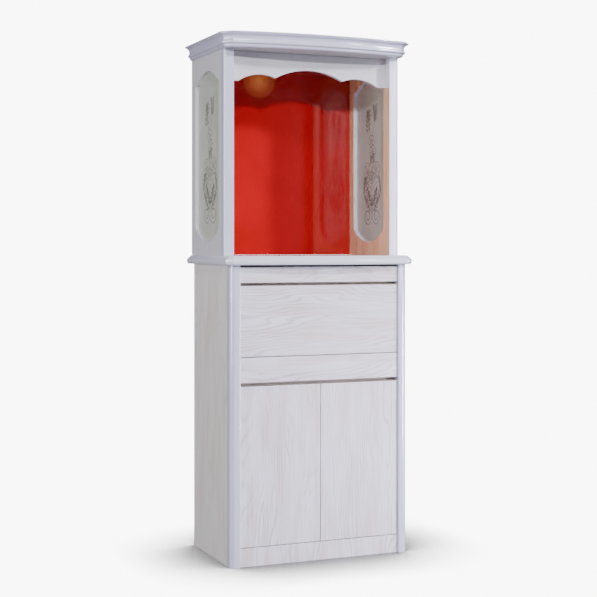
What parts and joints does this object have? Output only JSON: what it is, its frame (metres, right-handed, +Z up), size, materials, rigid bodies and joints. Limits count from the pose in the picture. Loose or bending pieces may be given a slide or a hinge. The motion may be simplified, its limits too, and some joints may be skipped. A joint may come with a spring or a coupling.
{
  "type": "household altar cabinet",
  "caption": "Two-tier altar cabinet: open red-backed shrine with bowed crown and etched side windows, on a cupboard with a pull-out tray, drawers and doors.",
  "frame": {"origin": "on the floor under the middle of the cabinet's bounding box", "axes": "+Z up, the open front faces -Y, +X to the right seen from the front"},
  "size_m": [0.733, 0.464, 1.8485],
  "materials": {
    "white_lacquer": "satin white lacquer on wood",
    "white_grain": "white-washed wood grain, satin",
    "inner_wood": "pale brown drawer wood, satin",
    "lining_wood": "pinkish orange wood veneer, satin",
    "raw_wood": "plain carcass board, matt",
    "red_gloss": "bright red gloss lacquer on board",
    "frosted_glass": "frosted tinted glass with an etched floral spray"
  },
  "bodies": {
    "case": {"cupboard_left_post": "white_lacquer", "cupboard_left_side": "white_grain", "cupboard_right_post": "white_lacquer", "cupboard_right_side": "white_grain", "cupboard_back": "raw_wood", "plinth_rail": "white_grain", "cupboard_bottom": "raw_wood", "shelf_over_doors": "raw_wood", "shelf_under_deep_drawer": "raw_wood", "shelf_under_tray": "raw_wood", "ledge": "white_lacquer", "shrine_left_wall": "white_lacquer", "shrine_right_wall": "white_lacquer", "shrine_left_lining": "lining_wood", "shrine_right_lining": "lining_wood", "left_window_glass": "frosted_glass", "right_window_glass": "frosted_glass", "shrine_left_post": "white_lacquer", "shrine_right_post": "white_lacquer", "valance": "white_lacquer", "red_back_panel": "red_gloss", "crown_moulding": "white_lacquer", "shrine_top_board": "white_lacquer"},
    "tray": {"tray_front": "white_grain", "tray_board": "inner_wood"},
    "deep_drawer": {"deep_drawer_front": "white_grain", "deep_drawer_left_side": "inner_wood", "deep_drawer_right_side": "inner_wood", "deep_drawer_back": "inner_wood", "deep_drawer_bottom": "inner_wood"},
    "shallow_drawer": {"shallow_drawer_front": "white_grain", "shallow_drawer_left_side": "inner_wood", "shallow_drawer_right_side": "inner_wood", "shallow_drawer_back": "inner_wood", "shallow_drawer_bottom": "inner_wood"},
    "left_door": {"left_door": "white_grain"},
    "right_door": {"right_door": "white_grain"}
  },
  "joints": [
    {"name": "tray_slide", "type": "slide", "parent": "case", "child": "tray", "axis": [0, -1, 0], "range_m": [0, 0.25]},
    {"name": "deep_drawer_slide", "type": "slide", "parent": "case", "child": "deep_drawer", "axis": [0, -1, 0], "range_m": [0, 0.26]},
    {"name": "shallow_drawer_slide", "type": "slide", "parent": "case", "child": "shallow_drawer", "axis": [0, -1, 0], "range_m": [0, 0.26]},
    {"name": "left_door_hinge", "type": "hinge", "parent": "case", "child": "left_door", "pos_m": [-0.303, -0.184, 0.344], "axis": [0, 0, -1], "range_deg": [0, 90]},
    {"name": "right_door_hinge", "type": "hinge", "parent": "case", "child": "right_door", "pos_m": [0.303, -0.184, 0.344], "axis": [0, 0, 1], "range_deg": [0, 90]}
  ]
}
